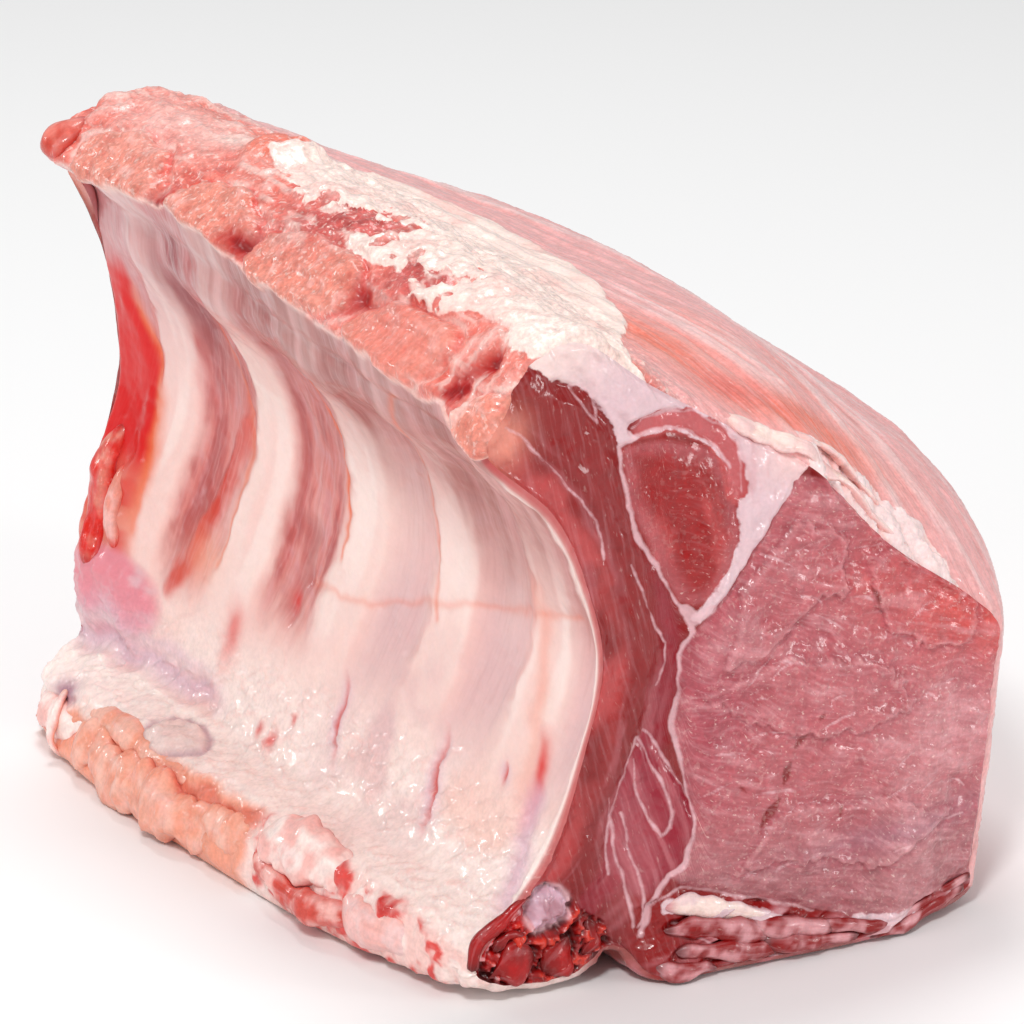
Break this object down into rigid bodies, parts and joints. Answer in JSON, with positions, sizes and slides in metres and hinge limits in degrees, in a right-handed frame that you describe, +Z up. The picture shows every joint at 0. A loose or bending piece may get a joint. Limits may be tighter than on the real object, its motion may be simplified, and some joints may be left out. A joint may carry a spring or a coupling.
{
  "type": "raw bone-in pork loin rib roast",
  "caption": "Raw bone-in pork loin roast standing on its chine, with a hollow rib side, sawn rib ends along the top, a white fat patch and a broad cut face.",
  "frame": {"origin": "under the middle of the roast's box, on the surface that it stands on", "axes": "+Y along the loin from the shown cut to the other cut, -X towards the hollow rib side, +Z up"},
  "size_m": [0.1416, 0.1674, 0.1262],
  "materials": {
    "lean": "moist raw lean pork, semi-gloss",
    "fat": "soft white pork fat, slightly greasy",
    "bone": "raw rib bone under a thin moist membrane",
    "marrow": "sawn red spongy chine bone, wet"
  },
  "bodies": {
    "root": {"lean_meat": "lean", "fat_cap": "fat", "chine_bone": "marrow", "rib_1": "bone", "rib_2": "bone", "rib_3": "bone", "rib_4": "bone", "rib_5": "bone"}
  },
  "joints": []
}
